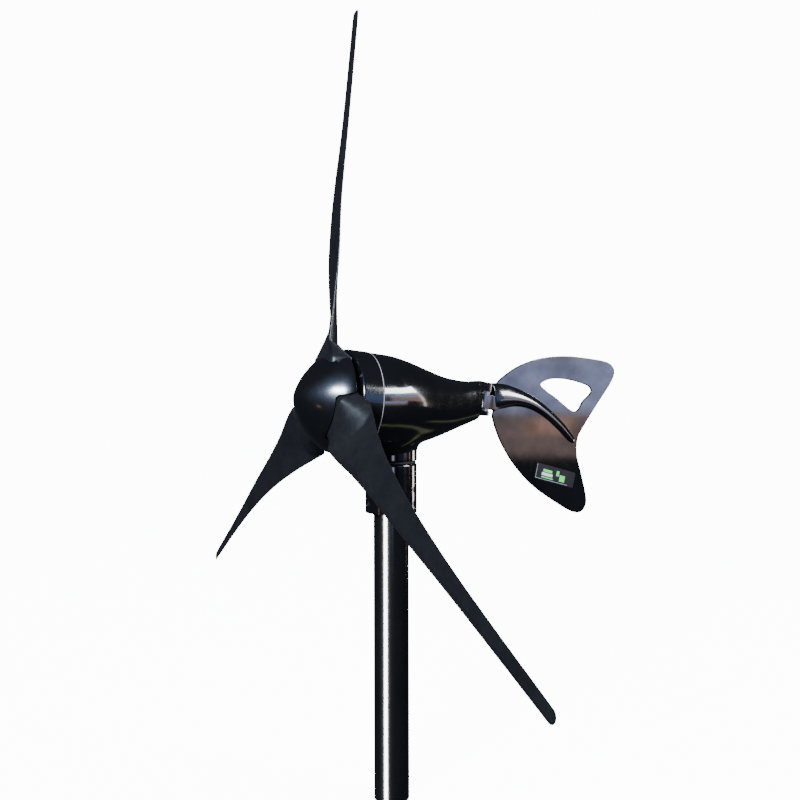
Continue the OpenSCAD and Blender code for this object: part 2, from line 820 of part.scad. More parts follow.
module tail_arm() {
    color(paint_black) difference() {
        union() {
            loft([for (y = arm_y) arm_ring(y)]);
            on_hinge(knuckle_z[0]) linear_extrude(knuckle_z[1] - knuckle_z[0]) knuckle_shape();
        }
        on_hinge(-40) cylinder(r = 7, h = 80);
        fin_slot();
        at_fin_screws() {
            cylinder(r = 2.5, h = 2 * $half - 3 - screw_sink);
            translate([0, 0, -20]) cylinder(r = 4.8, h = 20);
        }
    }
}

// Knuckle seen along the hinge: rounded block that runs back into the arm
module knuckle_shape() {
    translate([-9.5, -4]) square([19, 14]);
    for (x = [-4, 4]) translate([x, -4.5]) circle(r = 5.5);
    translate([-4, -10]) square([8, 8]);
    translate([-8, 8]) square([16, 22]);
}

module knuckle_bush() {
    color("#b98a3c") on_hinge(knuckle_z[0]) ring(7, bolt_r, knuckle_z[1] - knuckle_z[0]);
}

// Places of the fin screws, at the seats of their heads, with $half as the arm's half thickness
module at_fin_screws() {
    in_fin_plane() for (p = fin_screw_spots) let ($half = p[2])
        translate([p[0], p[1], screw_sink - $half]) children();
}

module tail_fin() {
    color(paint_black) in_fin_plane() translate([0, 0, -fin_t / 2]) linear_extrude(fin_t) difference() {
        polygon(loop_curve(fin_points, 5));
        polygon(loop_curve(hole_points, 5));
        for (p = fin_screw_spots) translate([p[0], p[1]]) circle(r = 2.6);
    }
}

module fin_screws() {
    head = 2.5;
    color(steel) at_fin_screws() {
        translate([0, 0, -eps]) cylinder(r = 2.5, h = 2 * $half - 3.5 - screw_sink);
        translate([0, 0, -head]) cylinder(r = 4.5, h = head);
    }
}

module fin_label() {
    t = 0.4;
    color("#3d7a45") in_fin_plane() translate([284, -98, fin_t / 2]) rotate([0, 0, -14.5])
        linear_extrude(t) translate([0, -27]) square([88, 27]);
}

mast_tube();
mast_adapter();
mast_set_screws();
yaw_spindle();
spindle_screws();
yaw_seal();
lower_yaw_inner_race();
lower_yaw_balls();
upper_yaw_inner_race();
upper_yaw_balls();
spindle_circlip();
slip_ring_sleeve();
slip_rings();
nacelle_shell();
yaw_housing();
housing_circlip();
lower_yaw_outer_race();
upper_yaw_outer_race();
brush_holder();
brushes();
brush_springs();
front_cover();
cover_gasket();
cover_screws();
shaft_seal();
front_outer_race();
stator_core();
stator_windings();
rear_bearing_plate();
plate_bolts();
rear_outer_race();
hinge_bolt();
hinge_nut();
hinge_washers();
rotor_shaft();
shaft_key();
rotor_core();
rotor_magnets();
front_inner_race();
front_balls();
rear_inner_race();
rear_balls();
hub();
hub_washer();
hub_nut();
blade_1();
blade_2();
blade_3();
blade_clamp_plate();
blade_bolts();
spinner();
spinner_grommets();
tail_arm();
knuckle_bush();
tail_fin();
fin_screws();
fin_label();
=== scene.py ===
"""Small wind turbine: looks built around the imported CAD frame. All tables are in millimetres."""
import math

import bmesh
import bpy
import numpy as np
from mathutils import Matrix, Vector


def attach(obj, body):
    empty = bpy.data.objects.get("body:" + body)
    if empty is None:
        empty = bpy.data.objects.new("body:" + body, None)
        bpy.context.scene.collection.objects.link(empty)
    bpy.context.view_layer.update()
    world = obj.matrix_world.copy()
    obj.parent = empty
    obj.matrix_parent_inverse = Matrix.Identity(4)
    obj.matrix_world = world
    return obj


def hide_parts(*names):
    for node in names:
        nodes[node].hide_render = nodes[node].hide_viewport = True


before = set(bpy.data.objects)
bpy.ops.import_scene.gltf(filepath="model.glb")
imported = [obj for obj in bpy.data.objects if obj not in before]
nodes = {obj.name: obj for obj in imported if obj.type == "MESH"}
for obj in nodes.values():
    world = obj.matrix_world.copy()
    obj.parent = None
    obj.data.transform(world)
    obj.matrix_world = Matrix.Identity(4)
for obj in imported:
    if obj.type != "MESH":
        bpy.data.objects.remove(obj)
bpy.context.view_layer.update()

MM = 0.001

# ---------------------------------------------------------------- the design's own frames

AXIS_H = 600.0                      # height of the rotor axis on the mast line
TILT = 5.0                          # upward tilt of the rotor axis, degrees
PHASE = -2.0                        # turn of the rotor at rest, degrees
BLADE_A = 100.5                     # blade plane, in front of the mast line
SPINNER_A = BLADE_A - 4
SEAM_A = BLADE_A - 47
TANG_A = BLADE_A - 5
TANG_T = 12
HINGE_Y = 173
HINGE_RISE = 6                      # hinge origin above the rotor axis
HINGE_LEAN = 8
UP = Matrix.Translation((0, 0, AXIS_H))


def on_axis(a=0.0):
    """Frame on the rotor axis: +Z to the nose, at distance a in front of the mast line."""
    return UP @ Matrix.Rotation(math.radians(90 - TILT), 4, "X") @ Matrix.Translation((0, 0, a))


def on_rotor(a=0.0):
    """The same frame turned with the rotor."""
    return on_axis(a) @ Matrix.Rotation(math.radians(-PHASE), 4, "Z")


def on_hinge():
    """Frame on the tail hinge: +Z up along the leaning hinge line."""
    lean = Matrix.Rotation(math.radians(-HINGE_LEAN), 4, "X")
    return Matrix.Translation((0, HINGE_Y, AXIS_H + HINGE_RISE)) @ lean


def in_fin_plane():
    """Frame of the fin: its X runs along +Y of the turbine, its Y upwards, its Z to +X."""
    return UP @ Matrix(((0, 0, 1, 0), (1, 0, 0, 0), (0, 1, 0, 0), (0, 0, 0, 1)))


# ---------------------------------------------------------------- mesh helpers

def make(name, verts, faces, matrix=None):
    """Mesh object in metres from millimetre points."""
    data = bpy.data.meshes.new(name)
    place = matrix or Matrix.Identity(4)
    data.from_pydata([(place @ Vector(v)) * MM for v in verts], [], faces)
    data.update()
    obj = bpy.data.objects.new(name, data)
    bpy.context.scene.collection.objects.link(obj)
    tidy_mesh(obj)
    data.shade_smooth()
    return obj


def tidy_mesh(obj):
    """Welds doubles and turns every face outwards."""
    bm = bmesh.new()
    bm.from_mesh(obj.data)
    bmesh.ops.remove_doubles(bm, verts=bm.verts, dist=1e-6)
    bmesh.ops.recalc_face_normals(bm, faces=bm.faces)
    bm.to_mesh(obj.data)
    bm.free()


def apply_modifiers(obj):
    """Turns the object's modifiers into plain mesh."""
    graph = bpy.context.evaluated_depsgraph_get()
    done = bpy.data.meshes.new_from_object(obj.evaluated_get(graph))
    old = obj.data
    obj.modifiers.clear()
    obj.data = done
    bpy.data.meshes.remove(old)
    return obj


def bevel(obj, width, segments=3, angle=35):
    """Rounds the sharp edges; width in millimetres."""
    mod = obj.modifiers.new("edges", "BEVEL")
    mod.width = width * MM
    mod.segments = segments
    mod.limit_method = "ANGLE"
    mod.angle_limit = math.radians(angle)
    mod.harden_normals = True
    return apply_modifiers(obj)


def settle_normals(obj):
    """Large faces keep their own direction, so only the small rounded ones blend."""
    mod = obj.modifiers.new("normals", "WEIGHTED_NORMAL")
    mod.weight = 100
    return apply_modifiers(obj)


def cut(obj, *tools, operation="DIFFERENCE"):
    """Exact boolean of the object with each tool; the tools are used up."""
    for tool in tools:
        mod = obj.modifiers.new("cut", "BOOLEAN")
        mod.operation = operation
        mod.solver = "EXACT"
        mod.object = tool
        apply_modifiers(obj)
    for tool in tools:
        bpy.data.objects.remove(tool)
    return obj


def join(first, *others):
    """Several meshes as one object."""
    bm = bmesh.new()
    for obj in (first, *others):
        bm.from_mesh(obj.data)
    bm.to_mesh(first.data)
    bm.free()
    for obj in others:
        bpy.data.objects.remove(obj)
    return first


def loft(name, rings, matrix=None):
    """Closed solid through rings of points."""
    n, m = len(rings[0]), len(rings)
    verts = [p for ring in rings for p in ring]
    faces = [(i * n + j, i * n + (j + 1) % n, (i + 1) * n + (j + 1) % n, (i + 1) * n + j)
             for i in range(m - 1) for j in range(n)]
    faces.append(tuple(range(n - 1, -1, -1)))
    faces.append(tuple((m - 1) * n + j for j in range(n)))
    return make(name, verts, faces, matrix)


def prism(name, outline, low, high, matrix=None, holes=()):
    """Flat outline, with holes, extruded from low to high."""
    bm = bmesh.new()
    edges = []
    for loop in (outline, *holes):
        verts = [bm.verts.new((x, y, low)) for x, y in loop]
        edges += [bm.edges.new((a, b)) for a, b in zip(verts, verts[1:] + verts[:1])]
    bmesh.ops.triangle_fill(bm, edges=edges, use_beauty=True)
    bmesh.ops.dissolve_limit(bm, angle_limit=0.01, verts=bm.verts, edges=bm.edges)
    top = bmesh.ops.extrude_face_region(bm, geom=bm.faces[:])
    moved = [g for g in top["geom"] if isinstance(g, bmesh.types.BMVert)]
    bmesh.ops.translate(bm, verts=moved, vec=(0, 0, high - low))
    verts = [tuple(v.co) for v in bm.verts]
    bm.verts.index_update()
    faces = [tuple(v.index for v in f.verts) for f in bm.faces]
    bm.free()
    return make(name, verts, faces, matrix)


def circle(r, x=0.0, y=0.0, n=64, start=0.0, turn=360.0):
    """Points of a circle or arc, without its last point; angles in degrees."""
    return [(x + r * math.cos(math.radians(start + turn * i / n)),
             y + r * math.sin(math.radians(start + turn * i / n))) for i in range(n)]


# ---------------------------------------------------------------- curves through tables

def curve(tab, x):
    """Smooth cubic curve through the rows of a table [x, values...], for one x or an array."""
    tab = np.asarray(tab, float)
    key = tab[:, 0]
    slopes = np.empty_like(tab)
    slopes[1:-1] = (tab[2:] - tab[:-2]) / (key[2:] - key[:-2])[:, None]
    slopes[0] = (tab[1] - tab[0]) / (key[1] - key[0])
    slopes[-1] = (tab[-1] - tab[-2]) / (key[-1] - key[-2])
    x = np.asarray(x, float)
    i = np.clip(np.searchsorted(key, x, side="right") - 1, 0, len(key) - 2)
    w = key[i + 1] - key[i]
    t = ((x - key[i]) / w)[..., None]
    w = w[..., None]
    t2, t3 = t * t, t * t * t
    return ((2 * t3 - 3 * t2 + 1) * tab[i] + (t3 - 2 * t2 + t) * w * slopes[i]
            + (3 * t2 - 2 * t3) * tab[i + 1] + (t3 - t2) * w * slopes[i + 1])


def loop_curve(points, n):
    """Closed smooth outline through points, n steps to each span."""
    out, c = [], len(points)
    for i in range(c):
        a, b, d, e = (np.array(points[(i + k) % c], float) for k in (-1, 0, 1, 2))
        for k in range(n):
            t = k / n
            out.append(tuple(0.5 * (2 * b + (d - a) * t + (2 * a - 5 * b + 4 * d - e) * t * t
                                    + (3 * b - a - 3 * d + e) * t ** 3)))
    return out


def sgn_pow(v, p):
    """Power that keeps the sign."""
    return math.copysign(abs(v) ** p, v)


def finish_piece(obj, body, node, slot):
    """Hangs the piece on its body's empty, hides the CAD node that it stands in for, and paints it."""
    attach(obj, body)
    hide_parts(node)
    obj.data.materials.clear()
    obj.data.materials.append(materials[slot])
    return obj


# ---------------------------------------------------------------- materials

def shader(name, colour, roughness, metallic=0.0):
    """New material with its shader node; constant values are set on the shader's own sockets."""
    mat = bpy.data.materials.new(name)
    mat.use_nodes = True
    tree = mat.node_tree
    tree.nodes.clear()
    out = tree.nodes.new("ShaderNodeOutputMaterial")
    bsdf = tree.nodes.new("ShaderNodeBsdfPrincipled")
    tree.links.new(bsdf.outputs["BSDF"], out.inputs["Surface"])
    bsdf.inputs["Base Color"].default_value = (*colour, 1)
    bsdf.inputs["Roughness"].default_value = roughness
    bsdf.inputs["Metallic"].default_value = metallic
    return mat, tree, bsdf


def coords(tree):
    """Object coordinates, in metres."""
    return tree.nodes.new("ShaderNodeTexCoord").outputs["Object"]


def plug(tree, socket, value):
    """Links another node's output to a socket, or sets a plain value there."""
    if hasattr(value, "is_output"):
        tree.links.new(value, socket)
    else:
        socket.default_value = value


def number(tree, operation, *values):
    """Maths node; each value is a number or another node's output."""
    node = tree.nodes.new("ShaderNodeMath")
    node.operation = operation
    for socket, value in zip(node.inputs, values):
        plug(tree, socket, value)
    return node.outputs[0]


def noise(tree, scale, detail=4.0, rough=0.55, vector=None):
    """Cloudy pattern from 0 to 1; scale in spots to the metre."""
    node = tree.nodes.new("ShaderNodeTexNoise")
    node.inputs["Scale"].default_value = scale
    node.inputs["Detail"].default_value = detail
    node.inputs["Roughness"].default_value = rough
    tree.links.new(vector or coords(tree), node.inputs["Vector"])
    return node.outputs["Fac"]


def vary(tree, fac, low, high, start=0.35, stop=0.65):
    """A number that runs from low to high with a texture."""
    node = tree.nodes.new("ShaderNodeMapRange")
    node.inputs["From Min"].default_value = start
    node.inputs["From Max"].default_value = stop
    node.inputs["To Min"].default_value = low
    node.inputs["To Max"].default_value = high
    tree.links.new(fac, node.inputs["Value"])
    return node.outputs["Result"]


def blend_colours(tree, fac, first, second, start=0.35, stop=0.65):
    """A colour that runs from first to second with a texture."""
    ramp = tree.nodes.new("ShaderNodeValToRGB")
    ramp.color_ramp.elements[0].position = start
    ramp.color_ramp.elements[0].color = (*first, 1)
    ramp.color_ramp.elements[1].position = stop
    ramp.color_ramp.elements[1].color = (*second, 1)
    tree.links.new(fac, ramp.inputs["Fac"])
    return ramp.outputs["Color"]


def bump(tree, bsdf, height, depth, socket="Normal"):
    """Relief of a given depth in millimetres; returns its node."""
    node = tree.nodes.new("ShaderNodeBump")
    node.inputs["Strength"].default_value = 1.0
    node.inputs["Distance"].default_value = depth * MM
    tree.links.new(height, node.inputs["Height"])
    tree.links.new(node.outputs["Normal"], bsdf.inputs[socket])
    return node


def paint(name, colour, tint, rough, coat_rough, wave=0.0, peel=0.0015, under=0.5):
    """Gloss paint under a clear coat: cloudy colour, uneven gloss, faint orange peel and long waves.
    The last three are the depths of waves and peel and the mirror level of the paint under the coat."""
    mat, tree, bsdf = shader(name, colour, rough[0])
    cloud = noise(tree, 9.0, 5.0)
    tree.links.new(blend_colours(tree, cloud, colour, tint), bsdf.inputs["Base Color"])
    dust = noise(tree, 60.0, 8.0, 0.7)
    tree.links.new(vary(tree, dust, rough[0], rough[1], 0.42, 0.75), bsdf.inputs["Roughness"])
    for socket in ("Normal", "Coat Normal"):
        waves = bump(tree, bsdf, noise(tree, 26.0, 2.0), wave, socket)
        skin = bump(tree, bsdf, noise(tree, 240.0, 1.0), peel, socket)
        tree.links.new(waves.outputs["Normal"], skin.inputs["Normal"])
    bsdf.inputs["Specular IOR Level"].default_value = under
    bsdf.inputs["Coat Weight"].default_value = 1.0
    bsdf.inputs["Coat Roughness"].default_value = coat_rough
    return mat


def moulded(name, colour, tint, rough, grain=0.01, scale=900.0):
    """Moulded plastic or rubber with a fine spark-eroded grain."""
    mat, tree, bsdf = shader(name, colour, rough[0])
    cloud = noise(tree, 22.0, 6.0)
    tree.links.new(blend_colours(tree, cloud, colour, tint), bsdf.inputs["Base Color"])
    tree.links.new(vary(tree, noise(tree, 140.0, 5.0), rough[0], rough[1]), bsdf.inputs["Roughness"])
    bump(tree, bsdf, noise(tree, scale, 3.0), grain)
    return mat


def metal(name, colour, tint, rough, grain=0.004, stretch=(1, 1, 1), scale=300.0):
    """Bare metal with machining lines along one direction."""
    mat, tree, bsdf = shader(name, colour, rough[0], 1.0)
    mapping = tree.nodes.new("ShaderNodeMapping")
    mapping.inputs["Scale"].default_value = stretch
    tree.links.new(coords(tree), mapping.inputs["Vector"])
    lines = noise(tree, scale, 4.0, 0.6, mapping.outputs["Vector"])
    tree.links.new(blend_colours(tree, lines, colour, tint), bsdf.inputs["Base Color"])
    tree.links.new(vary(tree, lines, rough[0], rough[1]), bsdf.inputs["Roughness"])
    bump(tree, bsdf, lines, grain)
    return mat


def laminated(name):
    """Stack of thin electrical steel sheets across the rotor axis."""
    mat, tree, bsdf = shader(name, (0.16, 0.165, 0.17), 0.38, 1.0)
    wave = tree.nodes.new("ShaderNodeTexWave")
    wave.bands_direction = "Y"
    wave.inputs["Scale"].default_value = 320.0
    wave.inputs["Distortion"].default_value = 0.4
    tree.links.new(coords(tree), wave.inputs["Vector"])
    sheets = blend_colours(tree, wave.outputs["Fac"], (0.08, 0.08, 0.085), (0.3, 0.31, 0.32), 0.2, 0.8)
    tree.links.new(sheets, bsdf.inputs["Base Color"])
    bump(tree, bsdf, wave.outputs["Fac"], 0.05)
    return mat


def wound_copper(name):
    """Enamelled copper wire laid side by side."""
    mat, tree, bsdf = shader(name, (0.5, 0.16, 0.06), 0.3, 1.0)
    wave = tree.nodes.new("ShaderNodeTexWave")
    wave.bands_direction = "DIAGONAL"
    wave.inputs["Scale"].default_value = 260.0
    wave.inputs["Distortion"].default_value = 1.2
    wave.inputs["Detail"].default_value = 1.0
    tree.links.new(coords(tree), wave.inputs["Vector"])
    wires = blend_colours(tree, wave.outputs["Fac"], (0.22, 0.06, 0.02), (0.62, 0.24, 0.09), 0.2, 0.8)
    tree.links.new(wires, bsdf.inputs["Base Color"])
    bump(tree, bsdf, wave.outputs["Fac"], 0.25)
    return mat


LABEL_PLACE = (284, -98)             # upper left corner in the fin's plane
LABEL_TURN = -14.5                   # degrees
LABEL_SIZE = (88, 27)
LABEL_CORNER = 2.5
LABEL_T = 0.35
LABEL_BLACK = (0.005, 0.005, 0.006)
LABEL_RULE = (0.30, 0.31, 0.32)
LABEL_GREEN = (0.12, 0.62, 0.14)
LABEL_PALE = (0.62, 0.66, 0.62)
# Ink colours and their rectangles on the label, [left, right, low, high]
LABEL_INKS = [
    (LABEL_RULE, [[1.5, 2.2, -25.5, -1.5], [1.5, 74, -25.5, -24.8]]),
    (LABEL_GREEN, [[16, 36, -12, -7.5], [14, 40, -22.5, -20.5]]),
    (LABEL_GREEN, [[46, 52, -14, -5], [54, 66, -22, -11]]),
    (LABEL_PALE, [[14, 38, -18.5, -13.5]])]


def label_patch(tree, place, box):
    """1 inside a rectangle of the label, [left, right, low, high] in millimetres, and 0 outside."""
    tests = [number(tree, operation, place.outputs[axis], edge * MM)
             for axis, low, high in ((1, *box[:2]), (2, *box[2:]))
             for operation, edge in (("GREATER_THAN", low), ("LESS_THAN", high))]
    fac = tests[0]
    for test in tests[1:]:
        fac = number(tree, "MULTIPLY", fac, test)
    return fac


def printed_label(name):
    """Plain printed label: near-black field, thin pale rule and a few short bars."""
    mat, tree, bsdf = shader(name, LABEL_BLACK, 0.3)
    mapping = tree.nodes.new("ShaderNodeMapping")
    mapping.vector_type = "TEXTURE"
    mapping.inputs["Location"].default_value = (0, LABEL_PLACE[0] * MM, (AXIS_H + LABEL_PLACE[1]) * MM)
    mapping.inputs["Rotation"].default_value = (math.radians(LABEL_TURN), 0, 0)
    tree.links.new(coords(tree), mapping.inputs["Vector"])
    place = tree.nodes.new("ShaderNodeSeparateXYZ")
    tree.links.new(mapping.outputs["Vector"], place.inputs["Vector"])
    colour = blend_colours(tree, noise(tree, 90.0, 5.0), LABEL_BLACK, (0.009, 0.009, 0.01))
    for ink, boxes in LABEL_INKS:
        for box in boxes:
            mix = tree.nodes.new("ShaderNodeMix")
            mix.data_type = "RGBA"
            tree.links.new(label_patch(tree, place, box), mix.inputs["Factor"])
            tree.links.new(colour, mix.inputs["A"])
            mix.inputs["B"].default_value = (*ink, 1)
            colour = mix.outputs["Result"]
    tree.links.new(colour, bsdf.inputs["Base Color"])
    bump(tree, bsdf, noise(tree, 500.0), 0.002)
    return mat


BLACK = (0.0025, 0.0025, 0.003)

# What makes each slot's material, and the values it takes after the name
RECIPES = {
    "mast_paint": (paint, BLACK, (0.004, 0.004, 0.0045), (0.24, 0.30), 0.13, 0.0, 0.0015, 0.03),
    "body_paint": (paint, BLACK, (0.004, 0.004, 0.005), (0.12, 0.22), 0.035, 0.02),
    "spinner_gloss": (paint, BLACK, (0.004, 0.004, 0.005), (0.22, 0.30), 0.10),
    "fin_paint": (paint, BLACK, (0.004, 0.004, 0.005), (0.05, 0.10), 0.02, 0.03, 0.0008),
    "blade_nylon": (moulded, (0.006, 0.006, 0.007), (0.009, 0.009, 0.0105), (0.32, 0.44), 0.006),
    "label": (printed_label,),
    "seal_rubber": (moulded, (0.008, 0.008, 0.008), (0.014, 0.014, 0.014), (0.6, 0.75), 0.02, 500.0),
    "gasket_sheet": (moulded, (0.28, 0.29, 0.30), (0.36, 0.37, 0.38), (0.55, 0.7), 0.01, 500.0),
    "brass": (metal, (0.55, 0.38, 0.13), (0.7, 0.5, 0.2), (0.22, 0.36)),
    "insulator": (moulded, (0.07, 0.04, 0.025), (0.1, 0.06, 0.035), (0.45, 0.6)),
    "carbon": (moulded, (0.02, 0.02, 0.021), (0.04, 0.04, 0.042), (0.4, 0.6), 0.02, 700.0),
    "copper": (wound_copper,),
    "lamination": (laminated,),
    "magnet": (metal, (0.32, 0.33, 0.35), (0.42, 0.43, 0.45), (0.24, 0.4)),
    "machined_steel": (metal, (0.42, 0.43, 0.44), (0.55, 0.56, 0.57), (0.24, 0.4), 0.006, (1, 6, 1)),
    "cast_aluminium": (metal, (0.5, 0.51, 0.52), (0.62, 0.63, 0.64), (0.4, 0.6), 0.05, (1, 1, 1), 180.0),
    "bearing_steel": (metal, (0.55, 0.56, 0.57), (0.62, 0.63, 0.64), (0.1, 0.18), 0.001),
    "fastener_steel": (metal, (0.3, 0.3, 0.31), (0.45, 0.45, 0.46), (0.25, 0.42), 0.006),
}
materials = {name: maker(name, *values) for name, (maker, *values) in RECIPES.items()}


def dress_cad_nodes():
    """Every carried-over CAD node takes the procedural material of its own slot."""
    for obj in nodes.values():
        for i, old in enumerate(obj.data.materials):
            obj.data.materials[i] = materials[old.name.split(".")[0]]


# ---------------------------------------------------------------- blades

# Blade sections: [radius, chord, pitch, sideways offset, forward offset, thickness share]
BLADE_TAB = [
    [40, 93, 28.0, -4.0, 2.0, 0.24],
    [75, 92, 27.0, -3.6, 3.5, 0.21],
    [110, 83, 24.5, -1.6, 5.8, 0.18],
    [160, 66.5, 16.5, -1.4, 8.8, 0.15],
    [220, 54, 7.5, 0.0, 10.9, 0.14],
    [300, 40, 4.5, 1.0, 11.6, 0.13],
    [420, 25.5, 1.5, 2.6, 6.6, 0.14],
    [600, 16.4, -4.5, 0.5, 0.0, 0.17]]
ROTOR_R = 600
SHOULDER_W = 39.5
SHOULDER_D = 15.5
SHOULDER_MID = 4                     # its middle, in front of the blade plane
SHOULDER_TAPER = 0.18
SHOULDER_SQUARE = 0.3
ROOT_R = 61                          # radius where the aerofoil starts to take over
COVER_FACE = -11.5                   # a blade stays in front of this plane near the generator
TIP_ROUND = 7                        # length of the rounded tip
TANG_BOX = [(-30, 20), (30, 20), (30, 49), (-30, 49)]
BOLT_SPOTS = [(-16, 36), (16, 36), (0, 30)]
BOLT_HOLE_R = 4.1


def shoulder_point(t):
    """Point of the thick shoulder at the root."""
    c, s = sgn_pow(math.cos(t), SHOULDER_SQUARE), sgn_pow(math.sin(t), SHOULDER_SQUARE)
    return SHOULDER_W * c * (1 - SHOULDER_TAPER * s), SHOULDER_MID + SHOULDER_D * s


def foil_share(r, t):
    """Share of the aerofoil in a section; the shoulder runs out slowest before the trailing side."""
    reach = 22 + 46 * max(0.0, math.sin(t)) * (1 - math.cos(t)) / 2
    return min(1.0, max(0.0, (r - ROOT_R) / reach))


def foil_point(t, f, shrink):
    """Point of the cambered aerofoil, leading edge on the +X side, pitched forward."""
    x = f[1] / 2 * math.cos(t) * shrink
    y = f[1] / 2 * f[5] * math.sin(t) * (0.75 + 0.25 * math.cos(t)) - 0.03 * f[1] * math.sin(t) ** 2
    a = math.radians(f[2])
    y *= shrink
    return f[3] + x * math.cos(a) - y * math.sin(a), f[4] + x * math.sin(a) + y * math.cos(a)


def blade_ring(r, n=72):
    """One section of a blade, with the tip's last millimetres rounded off."""
    f = curve(BLADE_TAB, r)
    tip = max(0.0, (r - (ROTOR_R - TIP_ROUND)) / TIP_ROUND)
    shrink = math.sqrt(max(0.0, 1 - tip * tip)) * 0.97 + 0.03
    ring = []
    for i in range(n):
        t = 2 * math.pi * i / n
        w = foil_share(r, t)
        s, q = shoulder_point(t), foil_point(t, f, shrink)
        x, z = (s[k] * (1 - w) + q[k] * w for k in (0, 1))
        z = max(z, COVER_FACE - 1.2 * max(0.0, math.hypot(r, x) - 80))
        ring.append((x, r, z + BLADE_A))
    return ring


def blade_stations():
    """Radii of the sections, closest together at the shoulder and in the rounded tip."""
    near = list(np.linspace(46, 130, 57))
    far = list(np.linspace(133, ROTOR_R - TIP_ROUND - 1, 90))
    end = [ROTOR_R - TIP_ROUND + TIP_ROUND * math.sin(math.pi / 2 * k / 10) for k in range(11)]
    return near + far + end


def blade(k):
    """One blade: aerofoil, thick shoulder and the flat tang with its bolt holes."""
    turn = on_rotor() @ Matrix.Rotation(math.radians(-120 * k), 4, "Z")
    body = loft("blade", [blade_ring(r) for r in blade_stations()], turn)
    cut(body, prism("tang", TANG_BOX, TANG_A, TANG_A + TANG_T, turn), operation="UNION")
    cut(body, *[prism("bolt_hole", circle(BOLT_HOLE_R, *spot, n=24), TANG_A - 1, TANG_A + TANG_T + 1, turn)
                for spot in BOLT_SPOTS])
    body.name = f"blade_{k + 1}_skin"
    body.data.shade_smooth()
    body.data.set_sharp_from_angle(angle=math.radians(38))
    return finish_piece(body, "rotor", f"blade_{k + 1}", "blade_nylon")


# ---------------------------------------------------------------- spinner

SPINNER_R = 77.0
SPINNER_LEN = 63.0
SPINNER_WALL = 2.5
DOME_POWER = 1.4
SLOT_DEPTH = 25.0        # from the rear edge to the slot's front edge
SLOT_FRONT_W = 34.0      # half widths
SLOT_REAR_W = 48.0
SLOT_CORNER = 5.0
SPINNER_BEVEL = 0.9
PEG_SPOT_R = 36
PEG_R = 3
PEG_LOW = TANG_A + TANG_T + 0.5 - SPINNER_A
PEG_HIGH = SPINNER_LEN * 0.66
TOOTH_STEPS = 44         # round the shell between two slots
BRIDGE_STEPS = 20        # round the shell in front of a slot


def dome_r(z):
    """Radius of the dome at depth z in front of its rear edge."""
    return SPINNER_R * max(0.0, 1 - (z / SPINNER_LEN) ** DOME_POWER) ** (1 / DOME_POWER)


def dome_pair(z, phi):
    """Outer point and the point one wall thickness inside it."""
    h = 1e-3
    a, b = max(0.0, z - h), min(SPINNER_LEN, z + h)
    dr, dz = dome_r(b) - dome_r(a), b - a
    length = math.hypot(dr, dz)
    nr, nz = dz / length, -dr / length
    r = dome_r(z)
    c, s = math.cos(phi), math.sin(phi)
    inner = max(0.0, r - nr * SPINNER_WALL)
    return (r * c, r * s, z), (inner * c, inner * s, z - nz * SPINNER_WALL)


def slot_half_width(z):
    """Half width of a slot at depth z in front of the rear edge."""
    w = SLOT_REAR_W + (SLOT_FRONT_W - SLOT_REAR_W) * z / SLOT_DEPTH
    past = z - (SLOT_DEPTH - SLOT_CORNER)
    return w if past <= 0 else w - SLOT_CORNER + math.sqrt(max(0.0, SLOT_CORNER ** 2 - past ** 2))


def slot_depths():
    """Depths of the rows beside a slot, closer together round its corners."""
    rows = [SLOT_DEPTH * i / 24 for i in range(17)]
    rows += [SLOT_DEPTH - SLOT_CORNER * (1 - math.sin(math.pi / 2 * k / 8)) for k in range(1, 9)]
    return sorted(set(round(z, 6) for z in rows))


def crown_depths():
    """Depths of the rows in front of the slots, up to the nose."""
    return [SLOT_DEPTH + (SPINNER_LEN - SLOT_DEPTH) * math.sin(math.pi / 2 * i / 30) for i in range(31)]


def tooth(k, z):
    """Angles along one row of the shell between slot k and slot k + 1."""
    middle = math.radians(90 - 120 * k)
    half = math.asin(min(1.0, slot_half_width(z) / dome_r(z)))
    start, stop = middle - half, middle - math.radians(120) + half
    return [start + (stop - start) * i / TOOTH_STEPS for i in range(TOOTH_STEPS + 1)]


def bridge(k):
    """Angles along the front edge of slot k."""
    middle = math.radians(90 - 120 * k)
    half = math.asin(min(1.0, slot_half_width(SLOT_DEPTH) / dome_r(SLOT_DEPTH)))
    return [middle + half - 2 * half * i / BRIDGE_STEPS for i in range(BRIDGE_STEPS)]


class Shell:
    """Points and faces of the dome's thin shell; side 0 is its outside and side 1 its inside."""

    def __init__(self):
        self.verts, self.faces, self.index = [], [], {}

    def vert(self, z, phi, side):
        """Number of the point at depth z and angle phi; all angles meet at the nose."""
        key = (round(z, 5), round(phi % (2 * math.pi), 6) % round(2 * math.pi, 6), side)
        if z >= SPINNER_LEN - 1e-6:
            key = (key[0], 0, side)
        if key not in self.index:
            self.index[key] = len(self.verts)
            self.verts.append(dome_pair(z, phi)[side])
        return self.index[key]

    def strip(self, z0, z1, phis0, phis1):
        """Faces between two rows, on both sides of the shell."""
        for a, b, c, d in zip(phis0, phis0[1:], phis1[1:], phis1):
            for side in (0, 1):
                corners = [self.vert(z0, a, side), self.vert(z0, b, side),
                           self.vert(z1, c, side), self.vert(z1, d, side)]
                corners = [v for j, v in enumerate(corners) if v != corners[j - 1]]
                if len(corners) > 2:
                    self.faces.append(tuple(corners))

    def wall(self, *path):
        """Faces across the shell's thickness along a path of (depth, angle)."""
        for p, q in zip(path, path[1:]):
            self.faces.append((self.vert(*p, 0), self.vert(*q, 0), self.vert(*q, 1), self.vert(*p, 1)))


